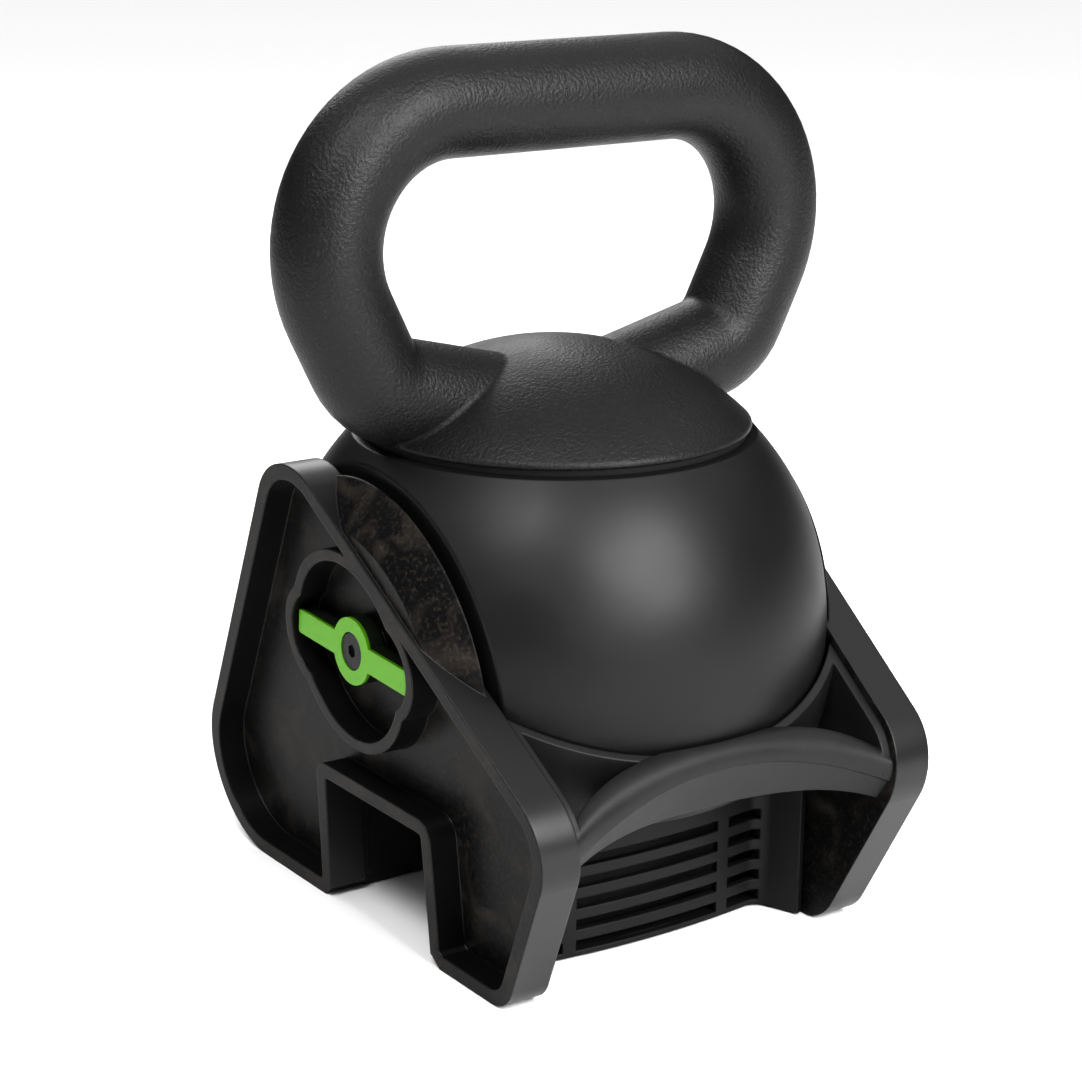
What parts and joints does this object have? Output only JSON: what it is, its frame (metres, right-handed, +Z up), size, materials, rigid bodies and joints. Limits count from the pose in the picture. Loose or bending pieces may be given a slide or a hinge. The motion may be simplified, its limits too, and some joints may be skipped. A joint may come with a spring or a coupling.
{
  "type": "kettlebell",
  "caption": "Kettlebell with a loop handle and flat-sided ball, standing in a moulded docking base with a turning latch on each side.",
  "frame": {"origin": "on the ground, at the middle of the overall box, under the centre of the ball", "axes": "+Z up, X along the handle's grip, -Y towards the front arch of the base"},
  "size_m": [0.2128, 0.2172, 0.2965],
  "materials": {
    "coated_iron": "black textured powder coat",
    "satin_shell": "satin black",
    "core_iron": "raw casting",
    "steel": "zinc plated",
    "dark_steel": "black oxide",
    "rubber": "matt",
    "cradle_plastic": "satin moulded",
    "grille_plastic": "satin moulded",
    "panel_plastic": "fine texture, dusty",
    "lever_plastic": "satin moulded",
    "green_plastic": "bright yellow-green",
    "bush_nylon": "natural nylon"
  },
  "bodies": {
    "base": {"cradle": "cradle_plastic", "front_grille": "grille_plastic", "rear_grille": "grille_plastic", "ball_pads": "rubber", "side_panel_right": "panel_plastic", "side_panel_left": "panel_plastic", "panel_screws_right": "steel", "panel_screws_left": "steel", "spindle_bush_right": "bush_nylon", "spindle_bush_left": "bush_nylon"},
    "kettlebell": {"handle_casting": "coated_iron", "ball_shell": "satin_shell", "weight_core": "core_iron", "tie_bolt": "steel", "tie_washer": "steel", "bottom_plug": "rubber", "neck_ring": "rubber"},
    "latch_right": {"latch_lever_right": "lever_plastic", "lever_inlay_right": "green_plastic", "lever_screw_right": "dark_steel", "latch_key_right": "steel", "wave_washer_right": "steel"},
    "latch_left": {"latch_lever_left": "lever_plastic", "lever_inlay_left": "green_plastic", "lever_screw_left": "dark_steel", "latch_key_left": "steel", "wave_washer_left": "steel"}
  },
  "joints": [
    {"name": "kettlebell_lift", "type": "slide", "parent": "base", "child": "kettlebell", "axis": [0, 0, 1], "range_m": [0, 0.12]},
    {"name": "latch_turn_right", "type": "hinge", "parent": "base", "child": "latch_right", "pos_m": [0.0765, 0, 0.1005], "axis": [-1, 0, 0], "range_deg": [0, 12]},
    {"name": "latch_turn_left", "type": "hinge", "parent": "base", "child": "latch_left", "pos_m": [-0.0765, 0, 0.1005], "axis": [-1, 0, 0], "range_deg": [0, 12]}
  ]
}
